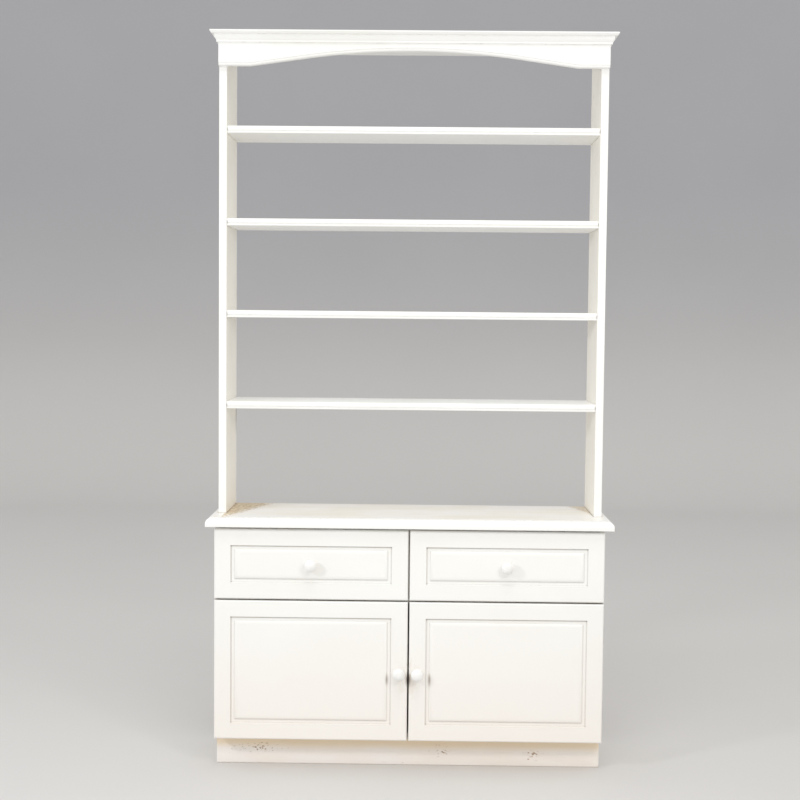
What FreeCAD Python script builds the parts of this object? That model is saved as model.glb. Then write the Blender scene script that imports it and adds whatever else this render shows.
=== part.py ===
import FreeCAD, Part
import math
import os

# A dresser with an open hutch: a two-drawer, two-door base with a moulded worktop, and above
# it four housed shelves between two uprights, under an arched fascia and a mitred cornice.
#
# Millimetres. X runs left to right, Y from front to rear, Z up from the floor. The origin is
# on the floor, in the middle of the whole piece. Depths are measured forward from the rear.

V = FreeCAD.Vector

# ---------------------------------------------------------------- driving dimensions

# Base carcass
base_width = 1056.0
carcass_depth = 262.0
side_thickness = 18.0
bottom_thickness = 18.0
divider_thickness = 18.0
partition_thickness = 18.0
rail_thickness = 18.0
rail_width = 60.0
housing_depth = 6.0
back_panel_thickness = 4.0
back_rebate_width = 9.0
plinth_height = 85.0
plinth_thickness = 18.0
plinth_recess = 40.0
cupboard_shelf_thickness = 16.0
cupboard_shelf_rise = 166.0
cupboard_shelf_setback = 30.0
cupboard_shelf_end_gap = 0.5
batten_width = 14.0
batten_height = 16.0

# Worktop
worktop_thickness = 26.0
worktop_side_overhang = 22.0
worktop_front_overhang = 18.0
worktop_edge_step = 2.0
worktop_ovolo_width = 15.0
worktop_ovolo_height = 16.0

# Doors and drawer fronts
front_thickness = 18.0
front_standoff = 2.0
front_edge_round = 5.0
leaf_gap = 4.0
worktop_gap = 7.0
door_height = 382.0
drawer_front_height = 191.0
border_width = 44.5
recess_depth = 4.5
recess_wall_run = 1.2
recess_floor_width = 9.5
shoulder_width = 3.3
shoulder_height = 3.2
field_margin = 66.0

# Drawer boxes and their runners
drawer_side_thickness = 12.0
drawer_bottom_thickness = 4.0
drawer_bottom_rise = 10.0
drawer_bottom_housing = 5.0
drawer_joint_depth = 5.0
drawer_side_gap = 5.0
drawer_lift = 8.0
drawer_headroom = 27.0
drawer_rear_gap = 20.0
runner_height = 16.0
runner_front_setback = 8.0
runner_rear_setback = 10.0
runner_groove_depth = 6.0
runner_clearance = 0.3

# Knobs
knob_radius = 17.0
knob_projection = 30.0
knob_head_height = 19.0
knob_rim_height = 13.0
knob_face_radius = 12.0
knob_shank_radius = 6.5
knob_shank_bite = 12.0
knob_edge_inset = 23.0
door_knob_drop = 4.0

# Hinges
hinge_height = 50.0
hinge_leaf_width = 16.0
hinge_leaf_thickness = 0.8
hinge_barrel_radius = 2.25
hinge_pin_radius = 1.2
hinge_pin_clearance = 0.05
hinge_knuckle_gap = 0.3
hinge_barrel_clearance = 0.4
hinge_end_inset = 60.0

# Magnetic catches
catch_width = 40.0
catch_depth = 16.0
catch_height = 13.0
catch_centre_offset = 45.0
catch_gap = 0.4
strike_width = 34.0
strike_height = 11.0
strike_thickness = 1.2

# Hutch
hutch_side_inset = 24.0
hutch_depth = 210.0
hutch_height = 1305.0
upright_thickness = 21.0
top_board_thickness = 20.0
shelf_count = 4
shelf_thickness = 20.0
first_shelf_rise = 308.0
top_bay_height = 228.5
shelf_housing_depth = 7.0
shelf_housing_stop = 14.0
shelf_nose_height = 12.5
shelf_nose_round = 7.0
shelf_lower_setback = 2.0
tenon_thickness = 9.0
tenon_length = 12.0
tenon_shoulder = 25.0

# Fascia
fascia_thickness = 18.0
fascia_depth_below_top = 91.5
arch_rise = 41.5
arch_shoulder = 85.0
arch_flank_angle = 8.2
arch_corner_radius = 50.0
bead_height = 7.5
bead_setback = 2.0
bead_round = 5.0

# Cornice
cornice_foot_step = 5.0
cornice_foot_height = 5.0
cornice_long_curve_width = 5.5
cornice_long_curve_height = 15.5
cornice_ovolo_width = 9.5
cornice_ovolo_height = 5.5
cornice_quirk = 1.0
cornice_top_height = 4.0
long_curve_bow = 0.45

# ---------------------------------------------------------------- places worked out from them

front_back_depth = carcass_depth + front_standoff
front_depth = front_back_depth + front_thickness
worktop_depth = front_depth + worktop_front_overhang
rear_y = (front_depth + knob_projection) / 2

side_outer_x = base_width / 2
side_inner_x = side_outer_x - side_thickness
leaf_width = (base_width - leaf_gap) / 2
leaf_inner_x = leaf_gap / 2
leaf_centre_x = leaf_inner_x + leaf_width / 2

door_bottom_z = plinth_height
door_top_z = door_bottom_z + door_height
drawer_front_bottom_z = door_top_z + leaf_gap
drawer_front_top_z = drawer_front_bottom_z + drawer_front_height
worktop_bottom_z = drawer_front_top_z + worktop_gap
worktop_top_z = worktop_bottom_z + worktop_thickness
bottom_top_z = plinth_height + bottom_thickness
divider_bottom_z = door_top_z + leaf_gap / 2 - divider_thickness / 2
divider_top_z = divider_bottom_z + divider_thickness
rail_bottom_z = worktop_bottom_z - rail_thickness
plinth_front_depth = carcass_depth - plinth_recess
plinth_rear_depth = plinth_front_depth - plinth_thickness

drawer_outer_x = side_inner_x - drawer_side_gap
drawer_inner_x = partition_thickness / 2 + drawer_side_gap
drawer_bottom_z = divider_top_z + drawer_lift
drawer_top_z = rail_bottom_z - drawer_headroom
drawer_rear_depth = back_panel_thickness + drawer_rear_gap
drawer_floor_z = drawer_bottom_z + drawer_bottom_rise
drawer_knob_z = drawer_front_bottom_z + drawer_front_height / 2
door_knob_z = door_bottom_z + door_height / 2 - door_knob_drop

hinge_axis_depth = carcass_depth + front_standoff / 2

worktop_half_length = side_outer_x + worktop_side_overhang
hutch_outer_x = worktop_half_length - hutch_side_inset
hutch_inner_x = hutch_outer_x - upright_thickness
hutch_top_z = worktop_top_z + hutch_height
top_board_bottom_z = hutch_top_z - top_board_thickness
fascia_front_depth = hutch_depth + fascia_thickness
fascia_bottom_z = hutch_top_z - fascia_depth_below_top
cornice_projection = (cornice_foot_step + cornice_long_curve_width + cornice_ovolo_width
                      + cornice_quirk)
cornice_height = (cornice_foot_height + cornice_long_curve_height + cornice_ovolo_height
                  + cornice_top_height)


# ---------------------------------------------------------------- shape helpers

def at(x, depth, z):
    """A point, with its depth measured forward from the rear face."""
    return V(x, rear_y - depth, z)


def block(x_low, x_high, depth_low, depth_high, z_low, z_high):
    """A board between two planes in each direction."""
    corner = at(x_low, depth_high, z_low)
    return Part.makeBox(x_high - x_low, depth_high - depth_low, z_high - z_low, corner)


def mirrored(shape):
    """The same piece on the other side of the middle plane."""
    return shape.mirror(V(0, 0, 0), V(1, 0, 0))


def both_sides(shape):
    return [shape, mirrored(shape)]


def all_both_sides(shapes):
    return [copy for shape in shapes for copy in both_sides(shape)]


def without(shape, cutters):
    """The shape with each cutter's space taken out."""
    for cutter in cutters:
        shape = shape.cut(cutter)
    return shape


def on_depth(edge, depth):
    """Whether an edge lies wholly in the plane at this depth."""
    return all(math.isclose(rear_y - vertex.Y, depth) for vertex in edge.Vertexes)


class Outline:
    """A closed flat outline, drawn anticlockwise from its first point.

    place turns a pair of flat coordinates into a point in space.
    """

    quarter_sagitta = (math.sqrt(2) - 1) / 2

    def __init__(self, place, u, v):
        self.place = place
        self.first = (u, v)
        self.last = (u, v)
        self.edges = []

    def line(self, u, v):
        self.edges.append(Part.LineSegment(self.place(*self.last), self.place(u, v)).toShape())
        self.last = (u, v)
        return self

    def curve(self, u, v, bow=1.0):
        """An arc to a point: bow 1 is a quarter-round that swells outwards, less is flatter."""
        run = u - self.last[0]
        rise = v - self.last[1]
        middle_u = self.last[0] + run / 2 + bow * rise * self.quarter_sagitta
        middle_v = self.last[1] + rise / 2 - bow * run * self.quarter_sagitta
        arc = Part.Arc(self.place(*self.last), self.place(middle_u, middle_v), self.place(u, v))
        self.edges.append(arc.toShape())
        self.last = (u, v)
        return self

    def face(self):
        self.line(*self.first)
        return Part.Face(Part.Wire(self.edges))


def slab_rectangle(x_low, x_high, z_low, z_high, depth):
    corners = [(x_low, z_low), (x_high, z_low), (x_high, z_high), (x_low, z_high), (x_low, z_low)]
    return Part.makePolygon([at(x, depth, z) for x, z in corners])


# ---------------------------------------------------------------- doors and drawer fronts

def inset_rectangle(z_low, z_high, margin, depth):
    """The outline of a leaf, drawn in by a margin all round."""
    leaf_outer_x = leaf_inner_x + leaf_width
    return slab_rectangle(leaf_inner_x + margin, leaf_outer_x - margin,
                          z_low + margin, z_high - margin, depth)


def tapered(z_low, z_high, low, high):
    """A flat pyramid inside a leaf, between two pairs of margin and depth."""
    return Part.makeLoft([inset_rectangle(z_low, z_high, *low),
                          inset_rectangle(z_low, z_high, *high)], True, True)


def fielded_recess(z_low, z_high):
    """The space routed out between a leaf's flat border and its raised, shouldered field."""
    floor_depth = front_depth - recess_depth
    wall_foot = border_width + recess_wall_run
    field_foot = wall_foot + recess_floor_width
    shoulder = (field_foot + shoulder_width, floor_depth + shoulder_height)
    hollow = tapered(z_low, z_high, (wall_foot, floor_depth), (border_width, front_depth))
    steep_rise = tapered(z_low, z_high, (field_foot, floor_depth), shoulder)
    gentle_rise = tapered(z_low, z_high, shoulder, (field_margin, front_depth))
    return without(hollow, [steep_rise, gentle_rise])


def fielded_leaf(z_low, z_high):
    """The right-hand leaf between two heights: rounded edges, border and raised field."""
    leaf = block(leaf_inner_x, leaf_inner_x + leaf_width, front_back_depth, front_depth,
                 z_low, z_high)
    front_edges = [edge for edge in leaf.Edges if on_depth(edge, front_depth)]
    return leaf.makeFillet(front_edge_round, front_edges).cut(fielded_recess(z_low, z_high))


def knob(x, z):
    """A turned knob: a shank glued into the leaf, and a round head with a bevelled face."""
    head_foot = knob_projection - knob_head_height
    rim_top = head_foot + knob_rim_height
    profile = (Outline(lambda radius, rise: at(x + radius, front_depth + rise, z),
                       0, -knob_shank_bite)
               .line(knob_shank_radius, -knob_shank_bite)
               .line(knob_shank_radius, head_foot)
               .line(knob_radius, head_foot)
               .line(knob_radius, rim_top)
               .line(knob_face_radius, knob_projection)
               .line(0, knob_projection))
    return profile.face().revolve(at(x, front_depth, z), V(0, 1, 0), 360)


# ---------------------------------------------------------------- drawers

def drawer_side(x_low, x_high, groove_low, groove_high):
    """A box side, grooved outside for its runner and let into the back of the front."""
    side = block(x_low, x_high, drawer_rear_depth, front_back_depth + drawer_joint_depth,
                 drawer_bottom_z, drawer_top_z)
    middle_z = (drawer_bottom_z + drawer_top_z) / 2
    half_groove = runner_height / 2 + runner_clearance
    groove = block(groove_low, groove_high, drawer_rear_depth, front_back_depth,
                   middle_z - half_groove, middle_z + half_groove)
    return side.cut(groove)


def drawer_bottom():
    return block(drawer_inner_x + drawer_side_thickness - drawer_bottom_housing,
                 drawer_outer_x - drawer_side_thickness + drawer_bottom_housing,
                 drawer_rear_depth, front_back_depth + drawer_bottom_housing,
                 drawer_floor_z, drawer_floor_z + drawer_bottom_thickness)


def drawer_back():
    """The back stands on the bottom, between the sides."""
    return block(drawer_inner_x + drawer_side_thickness, drawer_outer_x - drawer_side_thickness,
                 drawer_rear_depth, drawer_rear_depth + drawer_side_thickness,
                 drawer_floor_z + drawer_bottom_thickness, drawer_top_z)


def drawer_nodes():
    """The right-hand drawer's pieces, by name."""
    bottom = drawer_bottom()
    outer = drawer_side(drawer_outer_x - drawer_side_thickness, drawer_outer_x,
                        drawer_outer_x - runner_groove_depth, drawer_outer_x).cut(bottom)
    inner = drawer_side(drawer_inner_x, drawer_inner_x + drawer_side_thickness,
                        drawer_inner_x, drawer_inner_x + runner_groove_depth).cut(bottom)
    turned_knob = knob(leaf_centre_x, drawer_knob_z)
    return {
        "drawer_front": without(fielded_leaf(drawer_front_bottom_z, drawer_front_top_z),
                                [outer, inner, bottom, turned_knob]),
        "drawer_outer_side": outer,
        "drawer_inner_side": inner,
        "drawer_back": drawer_back(),
        "drawer_bottom": bottom,
        "drawer_knob": turned_knob,
    }


def drawer_runners():
    """The two battens that carry the right-hand drawer in its grooves."""
    middle_z = (drawer_bottom_z + drawer_top_z) / 2
    reach = drawer_side_gap + runner_groove_depth - runner_clearance
    inner_face_x = partition_thickness / 2
    spans = [(inner_face_x, inner_face_x + reach), (side_inner_x - reach, side_inner_x)]
    return [block(x_low, x_high, back_panel_thickness + runner_rear_setback,
                  carcass_depth - runner_front_setback,
                  middle_z - runner_height / 2, middle_z + runner_height / 2)
            for x_low, x_high in spans]


# ---------------------------------------------------------------- hinges, doors and catches

hinge_heights = [door_bottom_z + hinge_end_inset, door_top_z - hinge_end_inset - hinge_height]


def barrel_cylinder(radius, z_low, z_high):
    return Part.makeCylinder(radius, z_high - z_low, at(side_outer_x, hinge_axis_depth, z_low))


def barrel_room(z_low, z_high):
    """The square space kept free round a barrel."""
    reach = hinge_barrel_radius + hinge_barrel_clearance
    return block(side_outer_x - reach, side_outer_x + reach, hinge_axis_depth - reach,
                 hinge_axis_depth + reach, z_low - hinge_knuckle_gap, z_high + hinge_knuckle_gap)


def hinge_plate(depth_low, z_low):
    return block(side_outer_x - hinge_leaf_width, side_outer_x, depth_low,
                 depth_low + hinge_leaf_thickness, z_low, z_low + hinge_height)


def hinge_frame_leaf(z_low):
    """The half on the carcass: a plate, the lower knuckle, and the pin standing fixed in it."""
    knuckle_top = z_low + (hinge_height - hinge_knuckle_gap) / 2
    knuckle = barrel_cylinder(hinge_barrel_radius, z_low, knuckle_top)
    pin = barrel_cylinder(hinge_pin_radius, z_low, z_low + hinge_height)
    plate = hinge_plate(carcass_depth, z_low)
    plate = plate.cut(barrel_room(knuckle_top + hinge_knuckle_gap, z_low + hinge_height))
    return plate.fuse(knuckle).fuse(pin)


def hinge_door_leaf(z_low):
    """The half on the door: a plate and the upper knuckle, which drops over the pin."""
    knuckle_foot = z_low + (hinge_height + hinge_knuckle_gap) / 2
    knuckle = barrel_cylinder(hinge_barrel_radius, knuckle_foot, z_low + hinge_height)
    bore = barrel_cylinder(hinge_pin_radius + hinge_pin_clearance, z_low, z_low + hinge_height)
    plate = hinge_plate(front_back_depth - hinge_leaf_thickness, z_low)
    plate = plate.cut(barrel_room(z_low, knuckle_foot - hinge_knuckle_gap))
    return plate.fuse(knuckle).cut(bore)


def hinge_nodes():
    """The right-hand door's two lift-off hinges, by name."""
    return {
        "hinge_frame_leaves": Part.makeCompound([hinge_frame_leaf(z) for z in hinge_heights]),
        "hinge_door_leaves": Part.makeCompound([hinge_door_leaf(z) for z in hinge_heights]),
    }


def hinge_reliefs():
    """The notches beside each barrel, in the door's rear corner and in the carcass side."""
    return [barrel_room(low, low + hinge_height) for low in hinge_heights]


def door_nodes():
    """The right-hand door's own pieces, by name; its knob is beside the middle of the base."""
    turned_knob = knob(leaf_inner_x + knob_edge_inset, door_knob_z)
    strike_z = divider_bottom_z - catch_height / 2
    strike = block(catch_centre_offset - strike_width / 2, catch_centre_offset + strike_width / 2,
                   front_back_depth - strike_thickness, front_back_depth,
                   strike_z - strike_height / 2, strike_z + strike_height / 2)
    return {
        "door": without(fielded_leaf(door_bottom_z, door_top_z), hinge_reliefs() + [turned_knob]),
        "door_knob": turned_knob,
        "door_strike_plate": strike,
    }


def door_catch():
    """The magnetic catch under the divider that holds the right-hand door shut."""
    front = front_back_depth - strike_thickness - catch_gap
    return block(catch_centre_offset - catch_width / 2, catch_centre_offset + catch_width / 2,
                 front - catch_depth, front, divider_bottom_z - catch_height, divider_bottom_z)


# ---------------------------------------------------------------- base carcass

def housed_board(z_low, z_high):
    """A full-width board let into both sides."""
    reach = side_inner_x + housing_depth
    return block(-reach, reach, back_panel_thickness, carcass_depth, z_low, z_high)


def back_panel():
    reach = side_inner_x + back_rebate_width
    return block(-reach, reach, 0, back_panel_thickness, plinth_height, worktop_bottom_z)


def plinth_board():
    return block(-side_outer_x, side_outer_x, plinth_rear_depth, plinth_front_depth,
                 0, plinth_height)


def top_rail(depth_low, depth_high):
    return block(-side_inner_x, side_inner_x, depth_low, depth_high,
                 rail_bottom_z, worktop_bottom_z)


def base_side(housed):
    """The right-hand side, notched for the plinth and housed for the boards it carries."""
    side = block(side_inner_x, side_outer_x, 0, carcass_depth, 0, worktop_bottom_z)
    toe_notch = block(side_inner_x, side_outer_x, plinth_rear_depth, carcass_depth,
                      0, plinth_height)
    return without(side, [toe_notch] + housed)


def drawer_partition(rails):
    """The upright board between the drawers, let into the divider and round the rails."""
    half = partition_thickness / 2
    partition = block(-half, half, back_panel_thickness, carcass_depth,
                      divider_top_z - housing_depth, worktop_bottom_z)
    return without(partition, rails)


def cupboard_shelf():
    reach = side_inner_x - cupboard_shelf_end_gap
    z_low = bottom_top_z + cupboard_shelf_rise
    return block(-reach, reach, back_panel_thickness, carcass_depth - cupboard_shelf_setback,
                 z_low, z_low + cupboard_shelf_thickness)


def shelf_batten():
    """The strip on the right-hand side that the cupboard shelf rests on."""
    shelf_bottom_z = bottom_top_z + cupboard_shelf_rise
    return block(side_inner_x - batten_width, side_inner_x, back_panel_thickness,
                 carcass_depth - 2 * cupboard_shelf_setback,
                 shelf_bottom_z - batten_height, shelf_bottom_z)


def worktop(mortised):
    """A board with a stepped ovolo along its front and both ends."""
    shoulder_z = worktop_top_z - worktop_edge_step
    nose_z = shoulder_z - worktop_ovolo_height
    inner_depth = worktop_depth - worktop_ovolo_width
    front_edge = (Outline(lambda u, v: at(-worktop_half_length, u, v), 0, worktop_bottom_z)
                  .line(worktop_depth, worktop_bottom_z)
                  .line(worktop_depth, nose_z)
                  .curve(inner_depth, shoulder_z)
                  .line(inner_depth, worktop_top_z)
                  .line(0, worktop_top_z))
    inner_x = worktop_half_length - worktop_ovolo_width
    end_edges = (Outline(lambda u, v: at(u, 0, v), -worktop_half_length, worktop_bottom_z)
                 .line(worktop_half_length, worktop_bottom_z)
                 .line(worktop_half_length, nose_z)
                 .curve(inner_x, shoulder_z)
                 .line(inner_x, worktop_top_z)
                 .line(-inner_x, worktop_top_z)
                 .line(-inner_x, shoulder_z)
                 .curve(-worktop_half_length, nose_z))
    lengthwise = front_edge.face().extrude(V(2 * worktop_half_length, 0, 0))
    crosswise = end_edges.face().extrude(V(0, -worktop_depth, 0))
    return without(lengthwise.common(crosswise), mortised)


def base_nodes(uprights):
    """The carcass of the base, with its worktop, by name."""
    bottom = housed_board(plinth_height, bottom_top_z)
    rear_rail = top_rail(back_panel_thickness, back_panel_thickness + rail_width)
    front_rail = top_rail(carcass_depth - rail_width, carcass_depth)
    partition = drawer_partition([rear_rail, front_rail])
    divider = housed_board(divider_bottom_z, divider_top_z).cut(partition)
    panel = back_panel()
    right_side = base_side([bottom, divider, panel] + hinge_reliefs())
    return {
        "base_right_side": right_side,
        "base_left_side": mirrored(right_side),
        "base_bottom": bottom,
        "base_divider": divider,
        "drawer_partition": partition,
        "base_back_panel": panel,
        "front_top_rail": front_rail,
        "rear_top_rail": rear_rail,
        "plinth_board": plinth_board(),
        "cupboard_shelf": cupboard_shelf(),
        "shelf_battens": Part.makeCompound(both_sides(shelf_batten())),
        "worktop": worktop(uprights),
        "door_catches": Part.makeCompound(both_sides(door_catch())),
        "drawer_runners": Part.makeCompound(all_both_sides(drawer_runners())),
    }


# ---------------------------------------------------------------- hutch

def hutch_shelf(z_low):
    """A shelf with a thumbnail nose, its ends housed in the uprights short of the front."""
    nose_z = z_low + shelf_thickness - shelf_nose_height
    top_z = z_low + shelf_thickness
    lower_depth = hutch_depth - shelf_lower_setback
    lower_round = shelf_lower_setback
    section = (Outline(lambda u, v: at(-hutch_inner_x, u, v), 0, z_low)
               .line(lower_depth - lower_round, z_low)
               .curve(lower_depth, z_low + lower_round)
               .line(lower_depth, nose_z)
               .line(hutch_depth, nose_z)
               .line(hutch_depth, top_z - shelf_nose_round)
               .curve(hutch_depth - shelf_nose_round, top_z)
               .line(0, top_z))
    board = section.face().extrude(V(2 * hutch_inner_x, 0, 0))
    reach = hutch_inner_x + shelf_housing_depth
    tongue = block(-reach, reach, 0, hutch_depth - shelf_housing_stop, z_low, top_z)
    return board.fuse(tongue).removeSplitter()


def hutch_shelf_heights():
    """The underside of each shelf: the first and last are set, the rest share the space."""
    first = worktop_top_z + first_shelf_rise
    last = top_board_bottom_z - top_bay_height
    pitch = (last - first) / (shelf_count - 1)
    return [first + index * pitch - shelf_thickness for index in range(shelf_count)]


def hutch_upright(shelves):
    """The right-hand upright, with a stub tenon at each end."""
    upright = block(hutch_inner_x, hutch_outer_x, 0, hutch_depth,
                    worktop_top_z, top_board_bottom_z)
    middle_x = (hutch_inner_x + hutch_outer_x) / 2
    tenons = block(middle_x - tenon_thickness / 2, middle_x + tenon_thickness / 2,
                   tenon_shoulder, hutch_depth - tenon_shoulder,
                   worktop_top_z - tenon_length, top_board_bottom_z + tenon_length)
    return without(upright.fuse(tenons), shelves)


def arch_outline(offset, place, top_z):
    """The fascia's face, with its arched lower edge raised by an offset.

    Level shoulders turn through a small round into straight flanks, which run tangent into
    one long arc over the middle.
    """
    angle = math.radians(arch_flank_angle)
    half_span = hutch_outer_x - arch_shoulder
    arc_radius = ((half_span * math.tan(angle) - arch_rise) / (1 / math.cos(angle) - 1))
    arc_centre_z = fascia_bottom_z + arch_rise - arc_radius
    level_z = fascia_bottom_z + offset
    crown_radius = arc_radius + offset
    corner_radius = arch_corner_radius - offset
    corner_x = half_span + arch_corner_radius * math.tan(angle / 2)
    corner_centre_z = fascia_bottom_z + arch_corner_radius

    def on_corner(turn):
        return (corner_x - corner_radius * math.sin(turn),
                corner_centre_z - corner_radius * math.cos(turn))

    def on_crown(turn):
        return (crown_radius * math.sin(turn), arc_centre_z + crown_radius * math.cos(turn))

    def mirror_point(point):
        return (-point[0], point[1])

    def arc(points):
        return Part.Arc(*[place(*point) for point in points]).toShape()

    def line(start, end):
        return Part.LineSegment(place(*start), place(*end)).toShape()

    corner = [on_corner(0), on_corner(angle / 2), on_corner(angle)]
    crown = [on_crown(angle), on_crown(0), on_crown(-angle)]
    far_corner = [mirror_point(point) for point in reversed(corner)]
    ends = [(-hutch_outer_x, level_z), (-hutch_outer_x, top_z), (hutch_outer_x, top_z),
            (hutch_outer_x, level_z)]
    edges = [
        arc(corner),
        line(corner[-1], crown[0]),
        arc(crown),
        line(crown[-1], far_corner[0]),
        arc(far_corner),
        line(far_corner[-1], ends[0]),
    ]
    edges += [line(start, end) for start, end in zip(ends, ends[1:])]
    edges.append(line(ends[-1], corner[0]))
    return Part.Face(Part.Wire(edges))


def fascia_board():
    """The arched board across the top, with a bead worked along its lower edge."""
    def place(x, z):
        return at(x, hutch_depth, z)

    bead_depth = fascia_thickness - bead_setback
    plain = arch_outline(bead_height, place, hutch_top_z).extrude(V(0, -fascia_thickness, 0))
    backing = arch_outline(0, place, hutch_top_z).extrude(V(0, -bead_depth, 0))
    bead_front = hutch_depth + bead_depth
    lower_edges = [edge for edge in backing.Edges
                   if on_depth(edge, bead_front) and edge.BoundBox.ZMax < top_board_bottom_z]
    return plain.fuse(backing.makeFillet(bead_round, lower_edges)).removeSplitter()


def cornice_section(place):
    """The moulding: a square foot, a long flat curve, an ovolo and a quirk under a square top."""
    foot_low = hutch_top_z - cornice_height
    foot_high = foot_low + cornice_foot_height
    ovolo_low = foot_high + cornice_long_curve_height
    top_low = ovolo_low + cornice_ovolo_height
    ovolo_foot = cornice_foot_step + cornice_long_curve_width
    return (Outline(place, 0, foot_low)
            .line(cornice_foot_step, foot_low)
            .line(cornice_foot_step, foot_high)
            .curve(ovolo_foot, ovolo_low, long_curve_bow)
            .curve(ovolo_foot + cornice_ovolo_width, top_low)
            .line(cornice_projection, top_low)
            .line(cornice_projection, hutch_top_z)
            .line(0, hutch_top_z)
            .face())


def mitre_wedge(points):
    """An upright prism over three plan points, tall enough to cut the whole moulding."""
    bottom = hutch_top_z - cornice_height
    corners = [at(x, depth, bottom) for x, depth in points]
    face = Part.Face(Part.makePolygon(corners + corners[:1]))
    return face.extrude(V(0, 0, cornice_height))


def cornice_nodes():
    """The front moulding and its two returns, mitred at the front corners."""
    outer_x = hutch_outer_x + cornice_projection
    outer_depth = fascia_front_depth + cornice_projection
    corner = (hutch_outer_x, fascia_front_depth)
    tip = (outer_x, outer_depth)
    front = cornice_section(lambda u, v: at(-outer_x, fascia_front_depth + u, v))
    front = front.extrude(V(2 * outer_x, 0, 0))
    side = cornice_section(lambda u, v: at(hutch_outer_x + u, 0, v))
    side = side.extrude(V(0, -outer_depth, 0))
    beside = mitre_wedge([corner, tip, (outer_x, fascia_front_depth)])
    ahead = mitre_wedge([corner, (hutch_outer_x, outer_depth), tip])
    right_return = side.cut(ahead)
    return {
        "cornice_front": without(front, both_sides(beside)),
        "cornice_right_return": right_return,
        "cornice_left_return": mirrored(right_return),
    }


def hutch_nodes(shelves, uprights):
    """The hutch's boards, by name."""
    right_upright, left_upright = uprights
    top_board = block(-hutch_outer_x, hutch_outer_x, 0, hutch_depth,
                      top_board_bottom_z, hutch_top_z)
    nodes = {
        "hutch_right_upright": right_upright,
        "hutch_left_upright": left_upright,
        "hutch_top_board": without(top_board, uprights),
        "fascia_board": fascia_board(),
    }
    for number, shelf in enumerate(shelves, 1):
        nodes[f"hutch_shelf_{number}"] = shelf
    nodes.update(cornice_nodes())
    return nodes


# ---------------------------------------------------------------- assembly

def all_nodes():
    shelves = [hutch_shelf(z) for z in hutch_shelf_heights()]
    uprights = both_sides(hutch_upright(shelves))
    nodes = {**base_nodes(uprights), **hutch_nodes(shelves, uprights)}
    handed = {**drawer_nodes(), **hinge_nodes(), **door_nodes()}
    for name, shape in handed.items():
        nodes[f"right_{name}"] = shape
        nodes[f"left_{name}"] = mirrored(shape)
    return nodes


os.makedirs("parts", exist_ok=True)
for node_name, node_shape in all_nodes().items():
    node_shape.exportStep(f"parts/{node_name}.step")
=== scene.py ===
import math

import bmesh
import bpy
from mathutils import Matrix, Vector


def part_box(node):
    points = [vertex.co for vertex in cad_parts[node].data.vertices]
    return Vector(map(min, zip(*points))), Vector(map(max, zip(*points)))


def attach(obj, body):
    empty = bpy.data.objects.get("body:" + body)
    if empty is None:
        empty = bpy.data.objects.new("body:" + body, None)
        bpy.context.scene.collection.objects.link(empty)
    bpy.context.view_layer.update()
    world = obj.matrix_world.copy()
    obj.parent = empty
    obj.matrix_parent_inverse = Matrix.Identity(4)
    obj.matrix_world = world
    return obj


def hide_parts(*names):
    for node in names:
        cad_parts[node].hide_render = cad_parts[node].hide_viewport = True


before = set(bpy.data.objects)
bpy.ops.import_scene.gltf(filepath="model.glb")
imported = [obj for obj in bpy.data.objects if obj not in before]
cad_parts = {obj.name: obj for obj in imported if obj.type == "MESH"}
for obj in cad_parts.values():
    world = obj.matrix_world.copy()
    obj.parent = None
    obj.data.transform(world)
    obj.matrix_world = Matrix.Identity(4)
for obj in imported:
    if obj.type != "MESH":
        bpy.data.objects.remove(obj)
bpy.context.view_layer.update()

# The dresser dressed: softened painted boards, fielded leaves, turned knobs and small fittings,
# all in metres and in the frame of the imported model. X runs left to right, Y front to rear,
# Z up from the floor.

MM = 0.001

# ---------------------------------------------------------------- sizes

# Boards and their corners
board_easing = 0.7 * MM
moulding_easing = 0.5 * MM
leaf_easing = 0.25 * MM
weld_distance = 0.005 * MM
plane_tolerance = 0.1 * MM
flat_angle = math.radians(0.6)

# Doors and drawer fronts
front_edge_round = 5.0 * MM
front_round_segments = 6
rear_edge_round = 3.0 * MM
rear_round_segments = 3
border_width = 44.5 * MM
recess_depth = 4.5 * MM
recess_wall_run = 1.2 * MM
recess_floor_width = 9.5 * MM
field_margin = 66.0 * MM
field_steps = 6

# Knobs
knob_radius = 17.0 * MM
knob_neck_radius = 6.5 * MM
knob_pad_radius = 10.0 * MM
knob_pad_height = 2.5 * MM
knob_pad_foot_inset = 0.5 * MM
knob_pad_foot_height = 0.8 * MM
knob_pad_taper = 0.4 * MM
knob_head_height = 21.0 * MM
knob_neck_steps = 6
knob_head_steps = 22
knob_turn_steps = 48

# Hinge screws and panel pins
hinge_plate_height = 50.0 * MM
hinge_plate_thickness = 0.8 * MM
hinge_screw_inset = 7.0 * MM
hinge_screw_margin = 8.0 * MM
hinge_screw_count = 3
screw_head_radius = 2.6 * MM
screw_head_rise = 0.25 * MM
pin_head_radius = 1.3 * MM
pin_head_rise = 0.4 * MM
pin_pitch = 110.0 * MM
pin_inset = 5.0 * MM
head_taper = 0.8
head_segments = 20

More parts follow.
